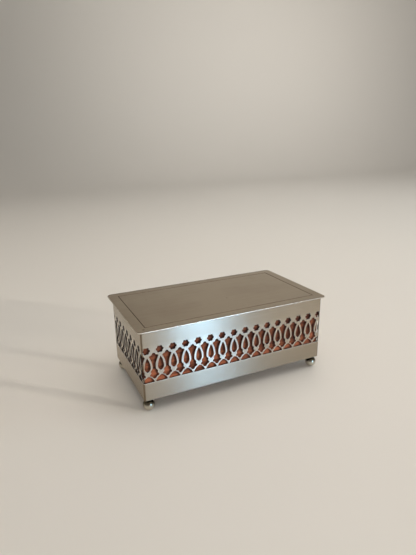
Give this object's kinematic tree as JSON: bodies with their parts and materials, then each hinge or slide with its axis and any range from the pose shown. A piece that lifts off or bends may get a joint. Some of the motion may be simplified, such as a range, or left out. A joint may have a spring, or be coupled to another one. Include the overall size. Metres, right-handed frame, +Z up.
{
  "type": "cigar box",
  "caption": "Low metal cigar box with pierced gallery walls over a wooden lining, a flat hinged lid and ball feet.",
  "frame": {"origin": "on the table, below the middle of the lid", "axes": "+X to the right along the front, +Y from the front to the hinge at the back, +Z up; the lid is closed"},
  "size_m": [0.2076, 0.1148, 0.0835],
  "materials": {
    "plated_sheet": "satin plated sheet",
    "lid_sheet": "brushed plated sheet",
    "polished_plate": "polished",
    "hinge_metal": "satin",
    "lining_wood": "oiled reddish brown wood"
  },
  "bodies": {
    "body": {"pierced_walls": "plated_sheet", "back_plate": "plated_sheet", "base_plate": "plated_sheet", "ball_feet": "polished_plate", "liner_floor": "lining_wood", "liner_front": "lining_wood", "liner_back": "lining_wood", "liner_left": "lining_wood", "liner_right": "lining_wood", "hinge_body_leaf": "hinge_metal", "hinge_pin": "hinge_metal"},
    "lid": {"lid_plate": "lid_sheet", "lid_lining": "lining_wood", "hinge_lid_leaf": "hinge_metal"}
  },
  "joints": [
    {"name": "lid_hinge", "type": "hinge", "parent": "body", "child": "lid", "pos_m": [0, 0.0487, 0.08], "axis": [-1, 0, 0], "range_deg": [0, 110]}
  ]
}
